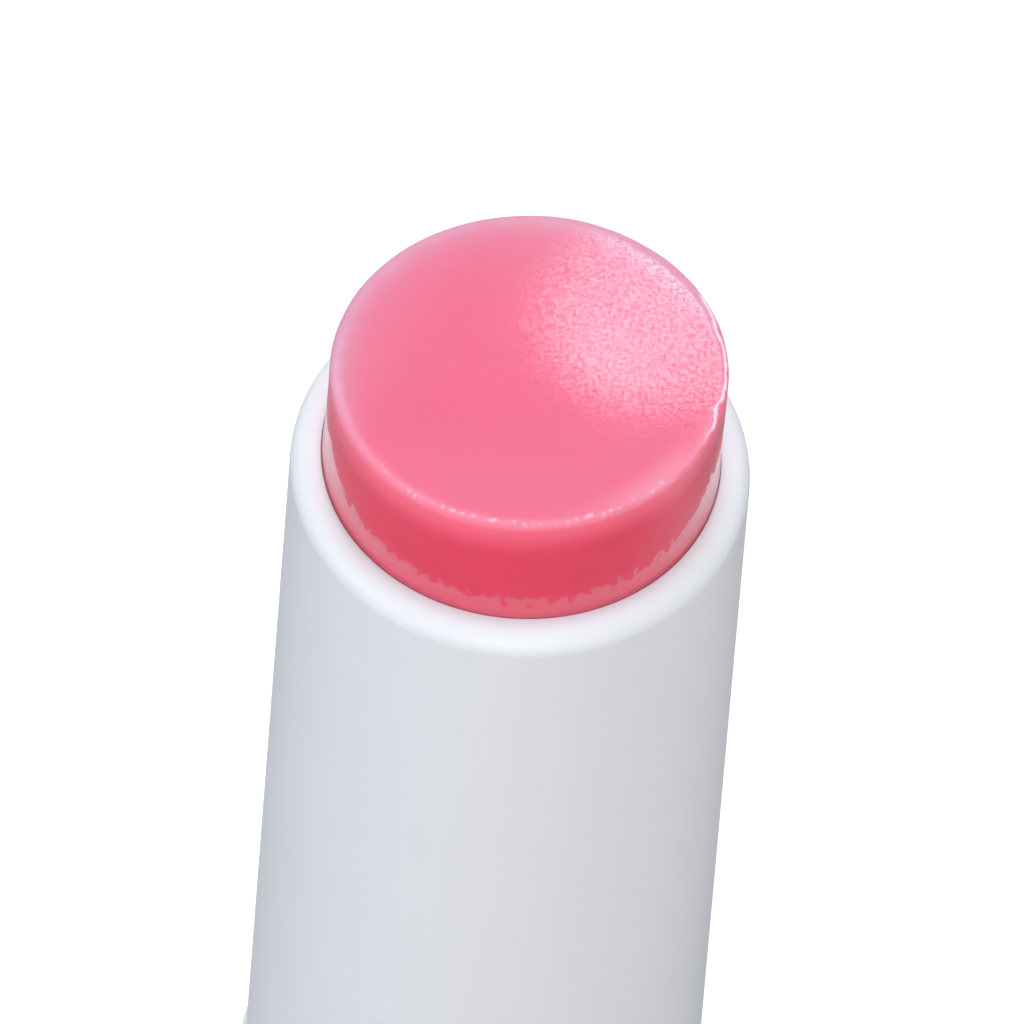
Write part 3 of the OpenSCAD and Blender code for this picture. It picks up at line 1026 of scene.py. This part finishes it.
class LIPBALM_OT_stage(Operator):
    """Set the floor, the lamps and the camera"""

    bl_idname = "lipbalm.stage"
    bl_label = "Stage"

    def execute(self, context):
        sizes = context.scene.lipbalm_stage
        scene = context.scene
        scene.view_settings.view_transform = "Standard"
        self.light_world(scene, sizes.ambient)
        self.lay_floor(scene)
        for name, (place, width, height, colour) in LAMPS.items():
            self.hang_lamp(scene, f"{name}_lamp", place, width, height, getattr(sizes, name), colour)
        self.set_camera(scene, sizes)
        return {"FINISHED"}

    def light_world(self, scene, ambient):
        """Light from all round that the camera sees as white."""
        world = bpy.data.worlds.new("studio_air")
        scene.world = world
        world.use_nodes = True
        air = Nodes(world.node_tree)
        white = air.node("ShaderNodeBackground", {}, {"Color": WHITE, "Strength": 1.0})
        tinted = air.node("ShaderNodeBackground", {}, {"Color": AIR_COLOUR, "Strength": ambient})
        shaders = {0: air.seen(), 1: tinted.outputs[0], 2: white.outputs[0]}
        mixed = air.node("ShaderNodeMixShader", {}, shaders)
        air.node("ShaderNodeOutputWorld", {}, {0: mixed.outputs[0]})

    def lay_floor(self, scene):
        """A plain pale floor that shows white and still takes the object's shadow."""
        half_side = 3.0
        below_origin = 0.02 * MM
        made = bmesh.new()
        bmesh.ops.create_grid(made, x_segments=8, y_segments=8, size=half_side)
        bmesh.ops.translate(made, vec=(0, 0, -below_origin), verts=made.verts)
        mesh = bpy.data.meshes.new("pale_floor")
        made.to_mesh(mesh)
        made.free()
        floor = bpy.data.objects.new("pale_floor", mesh)
        scene.collection.objects.link(floor)
        paper = Finish("pale_paper")
        colour = paper.mix(paper.noise(400, 3), (0.31, 0.31, 0.32), (0.33, 0.33, 0.33))
        matt = paper.node("ShaderNodeBsdfDiffuse", {}, {"Color": colour})
        glow = paper.node("ShaderNodeEmission", {}, {"Color": WHITE, "Strength": 0.8})
        lit = paper.node("ShaderNodeAddShader", {}, {0: matt.outputs[0], 1: glow.outputs[0]})
        shaders = {0: paper.seen(), 1: matt.outputs[0], 2: lit.outputs[0]}
        mixed = paper.node("ShaderNodeMixShader", {}, shaders)
        mesh.materials.append(paper.close_with(mixed))

    def hang_lamp(self, scene, name, place, width, height, radiance, colour):
        """A soft box that faces the rim and is out of the camera's sight. A radiance of 1 shows as white."""
        lamp = bpy.data.lights.new(name, "AREA")
        lamp.shape = "RECTANGLE"
        lamp.size = width
        lamp.size_y = height
        lamp.energy = radiance * math.pi * width * height
        lamp.color = colour
        box = bpy.data.objects.new(name, lamp)
        box.location = place
        box.rotation_euler = (Vector((0, 0, RIM_Z)) - Vector(place)).to_track_quat("-Z", "Y").to_euler()
        box.visible_camera = False
        scene.collection.objects.link(box)

    def set_camera(self, scene, sizes):
        """The photograph's view down onto the rim, on a long lens."""
        lens = bpy.data.cameras.new("photograph_view")
        lens.lens = sizes.camera_lens
        lens.sensor_width = 36.0
        lens.clip_start = 0.01
        lens.clip_end = 10.0
        camera = bpy.data.objects.new("photograph_view", lens)
        aimed = Vector(CAMERA_SIGHT).to_track_quat("-Z", "Y")
        camera.location = (0, -CAMERA_BEFORE_AXIS, RIM_Z + CAMERA_ABOVE_RIM)
        camera.rotation_mode = "QUATERNION"
        camera.rotation_quaternion = aimed @ Quaternion((0, 0, 1), sizes.camera_roll)
        scene.collection.objects.link(camera)
        scene.camera = camera


class LIPBALM_PT_panel(Panel):
    """Lists the pieces and the stage"""

    bl_idname = "LIPBALM_PT_panel"
    bl_label = "Lip balm stick"
    bl_space_type = "VIEW_3D"
    bl_region_type = "UI"
    bl_category = "Lip Balm"

    def draw(self, context):
        for operator, group in STEPS:
            self.layout.operator(operator.bl_idname)
            if group:
                settings = getattr(context.scene, group)
                for name in settings.__annotations__:
                    self.layout.prop(settings, name)


STEPS = (
    (LIPBALM_OT_stage, "lipbalm_stage"),
    (LIPBALM_OT_barrel, "lipbalm_barrel"),
    (LIPBALM_OT_balm, "lipbalm_balm"),
    (LIPBALM_OT_hidden_works, None),
    (LIPBALM_OT_dial, "lipbalm_dial"),
    (LIPBALM_OT_cap, "lipbalm_cap"),
)
GROUPS = {
    "lipbalm_stage": StageSettings,
    "lipbalm_barrel": BarrelSettings,
    "lipbalm_balm": BalmSettings,
    "lipbalm_dial": DialSettings,
    "lipbalm_cap": CapSettings,
}


def register():
    for name, group in GROUPS.items():
        bpy.utils.register_class(group)
        setattr(bpy.types.Scene, name, PointerProperty(type=group))
    for operator, _ in STEPS:
        bpy.utils.register_class(operator)
    bpy.utils.register_class(LIPBALM_PT_panel)


def unregister():
    bpy.utils.unregister_class(LIPBALM_PT_panel)
    for operator, _ in STEPS:
        bpy.utils.unregister_class(operator)
    for name, group in GROUPS.items():
        delattr(bpy.types.Scene, name)
        bpy.utils.unregister_class(group)


def main():
    register()
    bpy.ops.lipbalm.stage()
    bpy.ops.lipbalm.barrel()
    bpy.ops.lipbalm.balm()
    bpy.ops.lipbalm.hidden_works()
    bpy.ops.lipbalm.dial()
    bpy.ops.lipbalm.cap()


if __name__ == "__main__":
    main()
